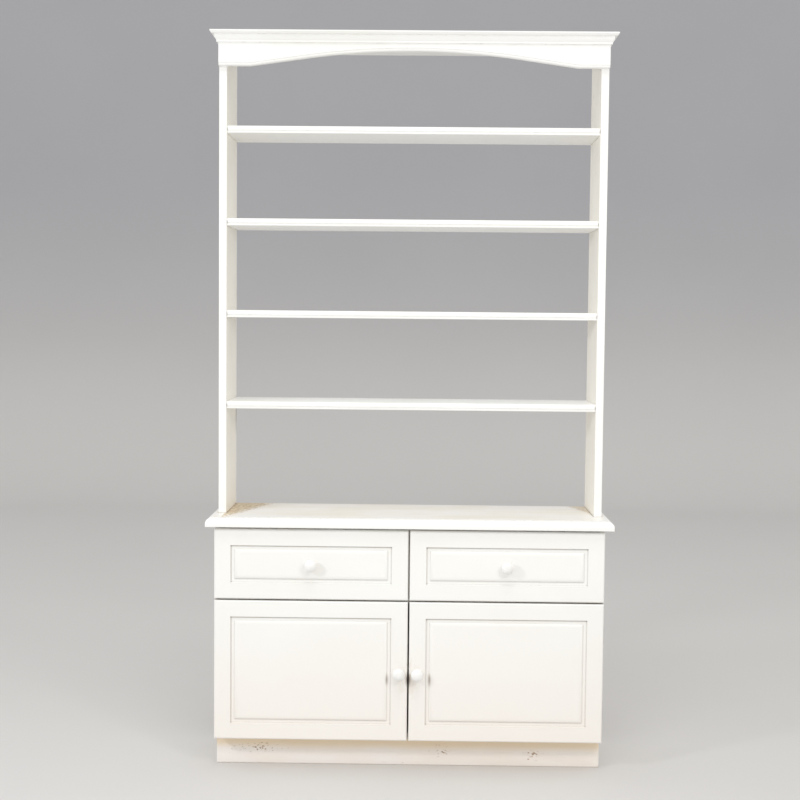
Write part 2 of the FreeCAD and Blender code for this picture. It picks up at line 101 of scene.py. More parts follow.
# Marks of use and of painted shade, and how far each reaches along X, Y and Z
open_joint_reach = (4 * MM, 12 * MM, 10 * MM)
streak_reach = (12 * MM, 20 * MM, 75 * MM)
streak_inset = 4 * MM
streak_drop = 30 * MM
left_triangle_reach = (100 * MM, -290 * MM, math.inf)
right_triangle_reach = (-48 * MM, -150 * MM, math.inf)
smear_reach = (46 * MM, 60 * MM, 90 * MM)
grip_reach = (11 * MM, 60 * MM, 27 * MM)
grip_drop = 18 * MM
shadow_and_dirt_reach = (6 * MM, 30 * MM, 24 * MM)
shadow_and_dirt_margin = field_margin - 8 * MM
left_kick = (-420 * MM, 46 * MM)
middle_kick = (90 * MM, 42 * MM)
right_kick = (345 * MM, 30 * MM)
wide_kick_reach = (130 * MM, 40 * MM, 32 * MM)
middle_kick_reach = (50 * MM, 40 * MM, 32 * MM)
right_kick_reach = (55 * MM, 40 * MM, 32 * MM)
door_shadow_foot = 36 * MM
door_shadow_top = 62 * MM


# ---------------------------------------------------------------- mesh helpers

def object_of(name, shape, material):
    """A new object at the origin from a bmesh, smooth shaded, with its place in its mesh."""
    mesh = bpy.data.meshes.new(name)
    bmesh.ops.recalc_face_normals(shape, faces=shape.faces)
    shape.to_mesh(mesh)
    shape.free()
    mesh.polygons.foreach_set("use_smooth", [True] * len(mesh.polygons))
    mesh.materials.append(material)
    piece = bpy.data.objects.new(name, mesh)
    bpy.context.scene.collection.objects.link(piece)
    return piece


def soften(piece, width, angle=35.0):
    """Rounds every edge sharper than an angle a little, and shades the flats flat."""
    bevel = piece.modifiers.new("easing", "BEVEL")
    bevel.width = width
    bevel.segments = 2
    bevel.limit_method = "ANGLE"
    bevel.angle_limit = math.radians(angle)
    normals = piece.modifiers.new("flats", "WEIGHTED_NORMAL")
    normals.mode = "FACE_AREA"
    normals.keep_sharp = True


def dress(piece, body, node=None):
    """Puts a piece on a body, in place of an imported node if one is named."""
    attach(piece, body)
    if node:
        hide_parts(node)


def box_shape(low, high):
    """A closed box between two corners."""
    shape = bmesh.new()
    bmesh.ops.create_cube(shape, size=1.0)
    bmesh.ops.scale(shape, vec=high - low, verts=shape.verts)
    bmesh.ops.translate(shape, vec=(low + high) / 2, verts=shape.verts)
    return shape


# ---------------------------------------------------------------- material helpers

def linear(colour):
    """A hex sRGB colour as linear red, green, blue and full alpha."""
    channels = [int(colour[index:index + 2], 16) / 255 for index in (1, 3, 5)]
    return [c / 12.92 if c <= 0.04045 else ((c + 0.055) / 1.055) ** 2.4
            for c in channels] + [1.0]


def add(tree, kind, inputs=None, **settings):
    """A shader node with its settings, and its sockets set or linked."""
    node = tree.nodes.new("ShaderNode" + kind)
    for name, value in settings.items():
        setattr(node, name, value)
    for socket, value in (inputs or {}).items():
        if isinstance(value, bpy.types.NodeSocket):
            tree.links.new(value, node.inputs[socket])
        else:
            node.inputs[socket].default_value = value
    return node


def new_material(name):
    """An empty material with a Principled shader on its output."""
    material = bpy.data.materials.new(name)
    material.use_nodes = True
    tree = material.node_tree
    tree.nodes.clear()
    shader = add(tree, "BsdfPrincipled")
    add(tree, "OutputMaterial", {"Surface": shader.outputs["BSDF"]})
    return material, tree, shader


def shaded_point(tree):
    """The point being shaded, in metres in the frame."""
    return add(tree, "TexCoord").outputs["Object"]


def component(tree, vector, axis):
    """A vector's component along X, Y or Z."""
    return add(tree, "SeparateXYZ", {0: vector}).outputs[axis]


def facing(tree, axis):
    """1 on a face turned along X, Y or Z, and -1 on one turned the other way."""
    return component(tree, add(tree, "NewGeometry").outputs["True Normal"], axis)


def cube(length):
    """The same length along X, Y and Z."""
    return (length, length, length)


def stretched(tree, size):
    """Object coordinates counted in a pattern's own lengths along X, Y and Z."""
    return add(tree, "Mapping", {"Vector": shaded_point(tree),
                                 "Scale": [1 / length for length in size]},
               vector_type="POINT").outputs["Vector"]


def noise(tree, size, detail=3.0, roughness=0.5, distortion=0.0):
    """Noise from 0 to 1 whose lumps have these lengths along X, Y and Z."""
    return add(tree, "TexNoise", {"Vector": stretched(tree, size), "Scale": 1.0, "Detail": detail,
                                  "Roughness": roughness, "Distortion": distortion}).outputs["Fac"]


def band(tree, value, low, high):
    """0 below low, 1 above high, and a smooth rise between."""
    return add(tree, "MapRange", {"Value": value, "From Min": low, "From Max": high},
               interpolation_type="SMOOTHSTEP").outputs["Result"]


def varied(tree, value, low, high):
    """A value of 0 to 1 spread evenly from low to high."""
    return add(tree, "MapRange", {"Value": value, "To Min": low, "To Max": high}).outputs["Result"]


def times(tree, first, second):
    """The product of two values."""
    return add(tree, "Math", {0: first, 1: second}, operation="MULTIPLY").outputs["Value"]


def largest(tree, first, second):
    """The larger of two values."""
    return add(tree, "Math", {0: first, 1: second}, operation="MAXIMUM").outputs["Value"]


def scaled_sum(tree, value, scale, term):
    """A value times a scale, plus a term."""
    return add(tree, "Math", {0: value, 1: scale, 2: term},
               operation="MULTIPLY_ADD").outputs["Value"]


def blended(tree, amount, low, high):
    """A colour between two, each a colour value or the output of another node."""
    mix = add(tree, "Mix", {"Factor": amount}, data_type="RGBA")
    for socket, value in ((mix.inputs[6], low), (mix.inputs[7], high)):
        if isinstance(value, bpy.types.NodeSocket):
            tree.links.new(value, socket)
        else:
            socket.default_value = value
    return mix.outputs[2]


def mottled(tree, amount, first, second):
    """A colour between two hex colours."""
    return blended(tree, amount, linear(first), linear(second))


def tinted(tree, colour, amount, tint):
    """A colour turned by an amount to a hex tint."""
    return blended(tree, amount, colour, linear(tint))


def reaches_from(tree, point, reach):
    """The way from a point to the shaded one, counted in reaches along X, Y and Z."""
    shifted = add(tree, "VectorMath", {0: shaded_point(tree), 1: point},
                  operation="SUBTRACT").outputs[0]
    return add(tree, "VectorMath", {0: shifted, 1: [1 / length for length in reach]},
               operation="MULTIPLY").outputs[0]


def near(tree, point, reach):
    """1 at a point and 0 beyond a reach along X, Y and Z."""
    distance = add(tree, "VectorMath", {0: reaches_from(tree, point, reach)},
                   operation="LENGTH").outputs["Value"]
    return band(tree, distance, 1.0, 0.0)


def corner_triangle(tree, corner, reach, ragged):
    """1 in a triangle that runs from a corner by a reach along X and Y, with a ragged long side."""
    along = add(tree, "SeparateXYZ", {0: reaches_from(tree, corner, reach)}).outputs
    reached = add(tree, "Math", {0: along["X"], 1: along["Y"]}, operation="ADD").outputs["Value"]
    frayed = scaled_sum(tree, ragged, 1.4, reached)
    return times(tree, band(tree, frayed, 1.85, 1.55), band(tree, along["X"], -0.06, -0.01))


def crevices(tree, reach, lean=(0.0, 0.0, 0.0)):
    """1 deep in a corner and 0 in the open; an upward lean finds what lies under a ledge."""
    normal = add(tree, "NewGeometry").outputs["Normal"]
    leaning = add(tree, "VectorMath", {0: normal, 1: lean}, operation="ADD").outputs[0]
    outward = add(tree, "VectorMath", {0: leaning}, operation="NORMALIZE").outputs[0]
    open_share = add(tree, "AmbientOcclusion", {"Distance": reach, "Normal": outward},
                     samples=8).outputs["AO"]
    return band(tree, open_share, 0.95, 0.35)


def sharp_edges(tree, radius):
    """1 along an outer or inner edge and 0 on a flat."""
    true_normal = add(tree, "NewGeometry").outputs["True Normal"]
    rounded_normal = add(tree, "Bevel", {"Radius": radius}, samples=4).outputs["Normal"]
    agreement = add(tree, "VectorMath", {0: true_normal, 1: rounded_normal},
                    operation="DOT_PRODUCT").outputs["Value"]
    return band(tree, agreement, 0.995, 0.85)


def chipped_edges(tree, size, low, high, edge_radius, share):
    """Chips of a size along the edges, where noise passes from low to high, at a share."""
    chips = band(tree, noise(tree, size, detail=5.0), low, high)
    return times(tree, times(tree, chips, sharp_edges(tree, edge_radius)), share)


def bump(tree, height, distance, under=None):
    """A normal tipped by a height pattern, on top of the normal of another bump if one is given."""
    inputs = {"Height": height, "Distance": distance}
    if under is not None:
        inputs["Normal"] = under
    return add(tree, "Bump", inputs).outputs["Normal"]


def coat(tree, shader, colour, roughness, normal):
    """Links a colour, a roughness and a normal to a shader."""
    for socket, value in (("Base Color", colour), ("Roughness", roughness), ("Normal", normal)):
        tree.links.new(value, shader.inputs[socket])


# ---------------------------------------------------------------- materials

joint_dirt = "#6a5c4b"
paint_ior = 1.48


def painted(name, paint, aged, grime_and_shade, stroke_size, wear, crevice_share=0.16, side=None, marks=()):
    """Satin alkyd paint brushed on pine or board: faint strokes, yellowed patches, grimy corners.

    wear is how bare the chipped edges are, and crevice_share how strongly dirt and painted shade
    darken the corners. side is the creamier colour of faces turned to the left and right: aged
    paint, and a painted warm cast of the light on them. marks are places with a reach each where
    a joint has opened or dirt has gathered.
    """
    material, tree, shader = new_material(name)
    patches = band(tree, noise(tree, cube(260 * MM)), 0.38, 0.68)
    strokes = noise(tree, stroke_size, detail=4.0, roughness=0.6)
    colour = mottled(tree, patches, paint, aged)
    # Faces turned left and right are creamier: aged paint, and a painted warm cast of the light on
    # them.
    if side:
        sideways = add(tree, "Math", {0: facing(tree, "X")}, operation="ABSOLUTE").outputs["Value"]
        colour = tinted(tree, colour, band(tree, sideways, 0.5, 0.9), side)
    # Dirt in the corners, and painted shade there too: the corner tint follows the occlusion mask.
    dust_and_shade = times(tree, band(tree, noise(tree, cube(28 * MM), detail=6.0), 0.35, 0.7),
                 crevice_share)
    colour = tinted(tree, colour, times(tree, crevices(tree, 10 * MM), dust_and_shade), grime_and_shade)
    gaps = band(tree, noise(tree, cube(16 * MM), detail=4.0), 0.6, 0.68)
    open_joints = times(tree, times(tree, crevices(tree, 2.5 * MM), gaps), 0.3)
    colour = tinted(tree, colour, open_joints, joint_dirt)
    for mark, reach in marks:
        colour = tinted(tree, colour, times(tree, near(tree, mark, reach), 0.8), joint_dirt)
    worn = chipped_edges(tree, cube(7 * MM), 0.58, 0.64, 1.6 * MM, wear)
    colour = tinted(tree, colour, worn, "#a98d66")
    shader.inputs["IOR"].default_value = paint_ior
    coat(tree, shader, colour, varied(tree, strokes, 0.34, 0.5), bump(tree, strokes, 0.06 * MM))
    return material


def worn_worktop(left_corner, right_corner):
    """Painted pine top, rubbed thin along its grain, speckled tan at its rear corners."""
    material, tree, shader = new_material("worktop_worn_painted_pine")
    grain = noise(tree, (420 * MM, 5 * MM, 30 * MM), detail=7.0, roughness=0.62, distortion=0.4)
    strokes = noise(tree, (120 * MM, 1.4 * MM, 30 * MM), detail=4.0)
    patches = noise(tree, (150 * MM, 70 * MM, 60 * MM), detail=4.0)
    speckle = noise(tree, (9 * MM, 5 * MM, 9 * MM), detail=6.0, roughness=0.65)
    top = mottled(tree, band(tree, patches, 0.35, 0.7), "#fbf9f5", "#f7f3ea")
    rubbed = times(tree, band(tree, grain, 0.46, 0.72), band(tree, patches, 0.36, 0.62))
    top = tinted(tree, top, times(tree, rubbed, 0.2), "#d3bb98")
    # A speckled tan, laid in a triangle beside each upright at the rear corners, widest at the rear
    # edge.
    bare = mottled(tree, band(tree, speckle, 0.36, 0.58), "#b49468", "#e9dbbf")
    left_triangle = corner_triangle(tree, left_corner, left_triangle_reach, speckle)
    right_triangle = corner_triangle(tree, right_corner, right_triangle_reach, speckle)
    top = blended(tree, left_triangle, top, bare)
    top = blended(tree, times(tree, right_triangle, 0.7), top, bare)
    flat_top = band(tree, facing(tree, "Z"), 0.97, 0.999)
    colour = blended(tree, flat_top, linear("#fbfbf9"), top)
    worn = chipped_edges(tree, (7 * MM, 7 * MM, 5 * MM), 0.6, 0.66, 1.5 * MM, 0.7)
    colour = tinted(tree, colour, worn, "#8f7a60")
    # Dirt in the joints, and painted shade in the corners where the occlusion is deep.
    colour = tinted(tree, colour, times(tree, crevices(tree, 7 * MM), 0.75), "#6f5b45")
    shader.inputs["IOR"].default_value = paint_ior
    coat(tree, shader, colour, varied(tree, rubbed, 0.36, 0.62),
         bump(tree, grain, 0.12 * MM, under=bump(tree, strokes, 0.05 * MM)))
    return material


def sprayed_front(grip, shadow_and_dirt_spots):
    """Satin cream-white lacquer sprayed on routed board, brown where it is handled.

    grip is the place between the door knobs where hands take hold, and shadow_and_dirt_spots
    are the places in the channels beside them, with dirt and painted knob shadow. Faces turned
    down and the channel floors under ledges are darkened with painted shade.
    """
    material, tree, shader = new_material("front_sprayed_cream_lacquer")
    peel = noise(tree, cube(2.2 * MM), detail=2.0)
    patches = band(tree, noise(tree, (300 * MM, 300 * MM, 180 * MM), detail=2.0), 0.35, 0.7)
    lower = band(tree, component(tree, shaded_point(tree), "Z"), 0.5, 0.08)
    colour = mottled(tree, patches, "#fafaf7", "#f9f8f4")
    # Painted shade: the fronts turn a little darker and warmer towards the floor.
    colour = tinted(tree, colour, times(tree, lower, 0.6), "#f8f0e8")
    smears = band(tree, noise(tree, (16 * MM, 16 * MM, 22 * MM), detail=5.0), 0.35, 0.65)
    handled = times(tree, near(tree, grip, smear_reach), smears)
    colour = tinted(tree, colour, times(tree, handled, 0.25), "#c9b08d")
    gripped = near(tree, grip, grip_reach)
    colour = tinted(tree, colour, times(tree, gripped, 0.8), "#543d2a")
    for mark in shadow_and_dirt_spots:
        # Each spot is dirt in the channel, and painted shadow of the knob beside it.
        rubbed = near(tree, mark, shadow_and_dirt_reach)
        colour = tinted(tree, colour, times(tree, rubbed, 0.55), "#664a33")
    # Painted shade: darker on faces turned down, and on the channel floors under the ledges.
    underside = band(tree, facing(tree, "Z"), 0.4, -0.4)
    painted_underside_shade = times(tree, times(tree, crevices(tree, 5 * MM), underside), 0.6)
    colour = tinted(tree, colour, painted_underside_shade, "#625240")
    painted_ledge_shade = crevices(tree, 5 * MM, lean=(0.0, 0.0, 0.8))
    colour = tinted(tree, colour, times(tree, painted_ledge_shade, 0.5), "#6d5a47")
    worn = chipped_edges(tree, cube(9 * MM), 0.63, 0.68, 1.2 * MM, times(tree, lower, 0.7))
    colour = tinted(tree, colour, worn, "#9b8262")
    shader.inputs["IOR"].default_value = 1.49
    coat(tree, shader, colour, varied(tree, smears, 0.32, 0.42), bump(tree, peel, 0.03 * MM))
    return material


def scuffed_plinth(kicks):
    """Cream paint on a pine plinth, tan painted shadow under the doors, chipped to bare wood.

    kicks is a list of places where shoes have struck it, each with its reach.
    """
    material, tree, shader = new_material("plinth_scuffed_painted_pine")
    patches = band(tree, noise(tree, (190 * MM, 60 * MM, 60 * MM), detail=4.0), 0.35, 0.68)
    scuffs = noise(tree, (40 * MM, 8 * MM, 5 * MM), detail=7.0, roughness=0.65)
    chips = noise(tree, (8 * MM, 8 * MM, 4.5 * MM), detail=6.0, roughness=0.65)
    strokes = noise(tree, (110 * MM, 1.4 * MM, 1.4 * MM), detail=4.0)
    colour = mottled(tree, patches, "#fdf8f3", "#fbf2e9")
    # Painted shadow: a tan band along the top of the plinth, under the doors' overhang.
    door_shadow = band(tree, component(tree, shaded_point(tree), "Z"), door_shadow_foot, door_shadow_top)
    colour = tinted(tree, colour, times(tree, door_shadow, 0.75), "#edd6b2")
    colour = tinted(tree, colour, times(tree, band(tree, scuffs, 0.58, 0.8), 0.18), "#c9b79d")
    kicked = 0.0
    for kick, reach in kicks:
        kicked = largest(tree, kicked, near(tree, kick, reach))
    chipped = band(tree, scaled_sum(tree, kicked, 0.14, chips), 0.69, 0.73)
    colour = tinted(tree, colour, chipped, "#a07c56")
    # Painted shade in the plinth's corners, where the occlusion is deep.
    colour = tinted(tree, colour, times(tree, crevices(tree, 5 * MM), 0.6), "#8d7c67")
    shader.inputs["IOR"].default_value = paint_ior
    coat(tree, shader, colour, varied(tree, scuffs, 0.36, 0.6),
         bump(tree, chips, -0.15 * MM, under=bump(tree, strokes, 0.06 * MM)))
    return material


def knob_enamel():
    """Gloss white enamel on turned beech, with fine turning rings."""
    material, tree, shader = new_material("knob_gloss_enamel_beech")
    rings = noise(tree, (40 * MM, 1.1 * MM, 40 * MM), detail=2.0)
    patches = band(tree, noise(tree, cube(18 * MM)), 0.4, 0.7)
    colour = mottled(tree, patches, "#fbfaf8", "#f5f4f1")
    # Painted shade in the neck, under the ball.
    colour = tinted(tree, colour, times(tree, crevices(tree, 8 * MM), 0.35), "#a89b88")
    tree.links.new(colour, shader.inputs["Base Color"])
    shader.inputs["Roughness"].default_value = 0.22
    shader.inputs["IOR"].default_value = 1.5
    shader.inputs["Coat Weight"].default_value = 0.3
    shader.inputs["Coat Roughness"].default_value = 0.12
    tree.links.new(bump(tree, rings, 0.02 * MM), shader.inputs["Normal"])
    return material


def bare_pine(name, grain_size):
    """Planed, unfinished pine: soft pale wood with darker late-wood lines along its length."""
    material, tree, shader = new_material(name)
    wander = noise(tree, [4 * length for length in grain_size], detail=2.0)
    rings = add(tree, "TexWave", {"Vector": stretched(tree, grain_size), "Scale": 0.6,
                                  "Distortion": 5.0, "Detail": 3.0, "Detail Scale": 1.2},
                wave_type="BANDS", bands_direction="DIAGONAL").outputs["Fac"]
    fibres = noise(tree, [length / 6 for length in grain_size], detail=5.0)
    colour = mottled(tree, band(tree, rings, 0.45, 0.95), "#dcbd8b", "#b98d57")
    colour = tinted(tree, colour, times(tree, band(tree, wander, 0.4, 0.7), 0.35), "#cfa36b")
    colour = tinted(tree, colour, times(tree, fibres, 0.25), "#a67f50")
    tree.links.new(colour, shader.inputs["Base Color"])
    shader.inputs["Roughness"].default_value = 0.68
    tree.links.new(bump(tree, fibres, 0.08 * MM), shader.inputs["Normal"])
    return material


def hardboard():
    """Thin hardboard: white lacquer, and brown pressed fibre on faces turned to the rear."""
    material, tree, shader = new_material("back_white_faced_hardboard")
    fibres = noise(tree, cube(1.6 * MM), detail=5.0, roughness=0.7)
    clouds = noise(tree, cube(90 * MM), detail=3.0)
    rear = band(tree, facing(tree, "Y"), 0.1, 0.5)
    brown = mottled(tree, fibres, "#7d5b3c", "#a37d55")
    brown = tinted(tree, brown, times(tree, band(tree, clouds, 0.4, 0.7), 0.4), "#8c6845")
    white = mottled(tree, band(tree, clouds, 0.35, 0.7), "#f1eee6", "#e6e0d3")
    coat(tree, shader, blended(tree, rear, white, brown), varied(tree, rear, 0.42, 0.8),
         bump(tree, fibres, 0.05 * MM))
    return material


def plated_steel():
    """Zinc-plated pressed steel: grey metal with a faint blue cast and a rolled grain."""
    material, tree, shader = new_material("hinge_zinc_plated_steel")
    rolled = noise(tree, (0.5 * MM, 0.5 * MM, 9 * MM), detail=3.0)
    spangle = noise(tree, cube(5 * MM), detail=2.0)
    colour = mottled(tree, band(tree, spangle, 0.35, 0.65), "#b9bcc0", "#a4a7a8")
    shader.inputs["Metallic"].default_value = 1.0
    coat(tree, shader, colour, varied(tree, rolled, 0.28, 0.42), bump(tree, rolled, 0.01 * MM))
    return material


def moulded_abs():
    """Off-white ABS from a spark-eroded mould: even colour with a fine matte grain."""
    material, tree, shader = new_material("catch_moulded_abs")
    grain = noise(tree, cube(0.6 * MM), detail=2.0)
    tree.links.new(mottled(tree, grain, "#ece8de", "#e2ddd0"), shader.inputs["Base Color"])
    shader.inputs["Roughness"].default_value = 0.5
    shader.inputs["IOR"].default_value = 1.53
    tree.links.new(bump(tree, grain, 0.02 * MM), shader.inputs["Normal"])
    return material


def studio_card():
    """Seamless studio paper: a pale floor that turns greyer up the backdrop."""
    material, tree, shader = new_material("studio_grey_paper")
    mottle = noise(tree, cube(0.9), detail=2.0)
    floor_tone = mottled(tree, mottle, "#dbd9d7", "#d7d5d3")
    wall_tone = mottled(tree, mottle, "#bdbdc1", "#b7b7bb")
    height = component(tree, shaded_point(tree), "Z")
    tone = blended(tree, band(tree, height, 0.0, 2.4), floor_tone, wall_tone)
    tree.links.new(tone, shader.inputs["Base Color"])
    shader.inputs["Roughness"].default_value = 0.75
    return material


# ---------------------------------------------------------------- places of the marks and painted shade

shelf_nodes = sorted(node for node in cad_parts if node.startswith("hutch_shelf_"))
upright_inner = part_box("hutch_left_upright")[1]
worktop_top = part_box("worktop")[1]
plinth_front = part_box("plinth_board")[0].y
door_low, door_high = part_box("left_door")
door_knob_low, door_knob_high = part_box("left_door_knob")
grip_z = (door_knob_low.z + door_knob_high.z) / 2 - grip_drop


def shelf_end_marks():
    """The front of the joint at both ends of each shelf, each with its reach."""
    marks = []
    for node in shelf_nodes:
        low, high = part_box(node)
        for x in (upright_inner.x, -upright_inner.x):
            marks.append(((x, low.y, (low.z + high.z) / 2), open_joint_reach))
    return marks


def rear_streak():
    """A streak at the rear of the left upright's inner face, under the lowest shelf."""
    lowest_shelf_z = min(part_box(node)[0].z for node in shelf_nodes)
    return ((upright_inner.x, upright_inner.y - streak_inset, lowest_shelf_z - streak_drop),
            streak_reach)


def kick_mark(kick, reach):
    """A kick on the plinth's front, given by its place along the board and its height."""
    x, z = kick
    return ((x, plinth_front, z), reach)


# ---------------------------------------------------------------- finishes

upright_strokes = (1.5 * MM, 1.5 * MM, 120 * MM)
level_strokes = (120 * MM, 1.5 * MM, 1.5 * MM)
return_strokes = (1.5 * MM, 90 * MM, 1.5 * MM)
corner_grime_and_shade = "#a8977c"


def hutch_paint(board, strokes, **details):
    """White paint on one kind of the hutch's pine boards."""
    return painted("hutch_painted_pine_" + board, "#fcfcfa", "#fafaf6", corner_grime_and_shade, strokes,
                   wear=0.25, **details)


def carcass_paint(board, strokes, wear):
    """Creamier paint on one kind of the base's boards."""
    return painted("carcass_painted_board_" + board, "#f9f6ee", "#f5f0e6", corner_grime_and_shade, strokes,
                   wear=wear)


hutch_upright_paint = hutch_paint("upright", upright_strokes, side="#fdf9f0",
                                  marks=[rear_streak()])
hutch_level_paint = hutch_paint("level", level_strokes)
# The shelves' corners darken more: dirt, and painted shade in the quirks of their noses.
hutch_shelf_paint = hutch_paint("shelf", level_strokes, crevice_share=0.4,
                                marks=shelf_end_marks())
hutch_return_paint = hutch_paint("return", return_strokes)
carcass_upright_paint = carcass_paint("upright", upright_strokes, wear=0.6)
carcass_level_paint = carcass_paint("level", level_strokes, wear=0.4)
knob_paint = knob_enamel()
pine_lengthwise = bare_pine("drawer_bare_pine_lengthwise", (9 * MM, 180 * MM, 9 * MM))
pine_crosswise = bare_pine("drawer_bare_pine_crosswise", (180 * MM, 9 * MM, 9 * MM))
back_board = hardboard()
hinge_steel = plated_steel()
catch_plastic = moulded_abs()
plinth_paint = scuffed_plinth([kick_mark(left_kick, wide_kick_reach),
                               kick_mark(middle_kick, middle_kick_reach),
                               kick_mark(right_kick, right_kick_reach)])
worktop_paint = worn_worktop((upright_inner.x, worktop_top.y, worktop_top.z),
                             (-upright_inner.x, worktop_top.y, worktop_top.z))
front_paint = sprayed_front((0.0, door_low.y, grip_z),
                            [(-shadow_and_dirt_margin, door_low.y, grip_z),
                             (shadow_and_dirt_margin, door_low.y, grip_z)])


# ---------------------------------------------------------------- painted boards

def eased_board(node, material, width=board_easing):
    """A copy of a carcass board with its facets joined into flats and its corners softened."""
    shape = bmesh.new()
    shape.from_mesh(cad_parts[node].data)
    bmesh.ops.remove_doubles(shape, verts=shape.verts, dist=weld_distance)
    bmesh.ops.dissolve_limit(shape, angle_limit=flat_angle, verts=shape.verts, edges=shape.edges)
    piece = object_of(node + "_painted", shape, material)
    soften(piece, width)
    dress(piece, "carcass", node)


eased_board("hutch_left_upright", hutch_upright_paint)
eased_board("hutch_right_upright", hutch_upright_paint)
for shelf_node in shelf_nodes:
    eased_board(shelf_node, hutch_shelf_paint)
eased_board("hutch_top_board", hutch_level_paint)
eased_board("fascia_board", hutch_level_paint)
eased_board("cornice_front", hutch_level_paint, moulding_easing)
eased_board("cornice_left_return", hutch_return_paint, moulding_easing)
eased_board("cornice_right_return", hutch_return_paint, moulding_easing)
eased_board("worktop", worktop_paint, moulding_easing)
eased_board("base_left_side", carcass_upright_paint)
eased_board("base_right_side", carcass_upright_paint)
eased_board("plinth_board", plinth_paint)


# ---------------------------------------------------------------- fielded leaves

def edges_at(shape, **planes):
    """The edges of a shape that lie in every named plane, such as y=0.0."""
    return [edge for edge in shape.edges
            if all(abs(getattr(vertex.co, axis) - value) < plane_tolerance
                   for vertex in edge.verts for axis, value in planes.items())]


def fielded_section():
    """How far in from a leaf's edge each turn of its face lies, and how high above its border.

    A flat border, a steep step down to a channel, and a quarter of an ellipse up to the field.
    """
    channel_foot = border_width + recess_wall_run
    field_foot = channel_foot + recess_floor_width
    section = [(front_edge_round, 0.0), (border_width, 0.0), (channel_foot, -recess_depth),
               (field_foot, -recess_depth)]
    for step in range(1, field_steps + 1):
        turn = math.pi / 2 * step / field_steps
        section.append((field_margin - (field_margin - field_foot) * math.cos(turn),
                        recess_depth * (math.sin(turn) - 1)))
    return section


def leaf(node, body, hinge_side=0):
    """A door or drawer front: a flat border, a sunk channel and a field that swells up from it.

    hinge_side is -1 or 1 where a door's rear edge is rounded to clear its barrels, 0 for none.
    """
    low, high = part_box(node)
    shape = box_shape(low, high)
    bmesh.ops.bevel(shape, geom=edges_at(shape, y=low.y), offset=front_edge_round,
                    segments=front_round_segments, profile=0.5, affect="EDGES", material=-1)
    if hinge_side:
        outer_x = low.x if hinge_side < 0 else high.x
        bmesh.ops.bevel(shape, geom=edges_at(shape, x=outer_x, y=high.y), offset=rear_edge_round,
                        segments=rear_round_segments, profile=0.5, affect="EDGES", material=-1)
    face = min(shape.faces, key=lambda candidate: candidate.calc_center_median().y)
    section = fielded_section()
    for (margin, height), (next_margin, next_height) in zip(section, section[1:]):
        bmesh.ops.inset_region(shape, faces=[face], thickness=next_margin - margin,
                               depth=next_height - height, use_even_offset=True)
    piece = object_of(node + "_fielded", shape, front_paint)
    soften(piece, leaf_easing, angle=25.0)
    dress(piece, body, node)


leaf("left_drawer_front", "left_drawer")
leaf("right_drawer_front", "right_drawer")
leaf("left_door", "left_door", -1)
leaf("right_door", "right_door", 1)


# ---------------------------------------------------------------- knobs

def knob_profile(projection):
    """The radius and the rise above its leaf of each turn of a knob, from its foot to its tip."""
    half_head = knob_head_height / 2
    head_middle = projection - half_head
    neck_angle = math.acos(knob_neck_radius / knob_radius)
    head_foot = head_middle - half_head * math.sin(neck_angle)
    neck_root_radius = knob_pad_radius - knob_pad_taper
    profile = [(0.0, 0.0), (knob_pad_radius - knob_pad_foot_inset, 0.0),
               (knob_pad_radius, knob_pad_foot_height), (neck_root_radius, knob_pad_height)]
    for step in range(1, knob_neck_steps + 1):
        share = step / knob_neck_steps
        narrowing = math.sin(share * math.pi / 2)
        profile.append((neck_root_radius + (knob_neck_radius - neck_root_radius) * narrowing,
                        knob_pad_height + (head_foot - knob_pad_height) * share))
    for step in range(1, knob_head_steps + 1):
        angle = -neck_angle + (math.pi / 2 + neck_angle) * step / knob_head_steps
        profile.append((knob_radius * math.cos(angle), head_middle + half_head * math.sin(angle)))
    return profile


def turned_knob(node, leaf_node, body):
    """A knob spun from a pad, a waisted neck and a flattened ball."""
    low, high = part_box(node)
    axis_x = (low.x + high.x) / 2
    axis_z = (low.z + high.z) / 2
    seat_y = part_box(leaf_node)[0].y
    shape = bmesh.new()
    rim = [shape.verts.new((axis_x + radius, seat_y - rise, axis_z))
           for radius, rise in knob_profile(seat_y - low.y)]
    edges = [shape.edges.new(pair) for pair in zip(rim, rim[1:])]
    bmesh.ops.spin(shape, geom=rim + edges, cent=(axis_x, seat_y, axis_z), axis=(0, 1, 0),
                   angle=2 * math.pi, steps=knob_turn_steps, use_merge=True)
    bmesh.ops.remove_doubles(shape, verts=shape.verts, dist=weld_distance)
    piece = object_of(node + "_turned", shape, knob_paint)
    dress(piece, body, node)


for side in ("left", "right"):
    turned_knob(f"{side}_drawer_knob", f"{side}_drawer_front", f"{side}_drawer")
for side in ("left", "right"):
    turned_knob(f"{side}_door_knob", f"{side}_door", f"{side}_door")


# ---------------------------------------------------------------- small fasteners

forward = Vector((0, -1, 0))
rearward = Vector((0, 1, 0))


def disc_head(shape, centre, direction, radius, rise):
    """Adds one low round head that stands on a face, its centre at a point of that face."""
    turn = Vector((0, 0, 1)).rotation_difference(direction).to_matrix().to_4x4()
    made = bmesh.ops.create_cone(shape, cap_ends=True, segments=head_segments, radius1=radius,
                                 radius2=radius * head_taper, depth=rise)
    bmesh.ops.transform(shape, matrix=Matrix.Translation(centre + direction * rise / 2) @ turn,
                        verts=made["verts"])


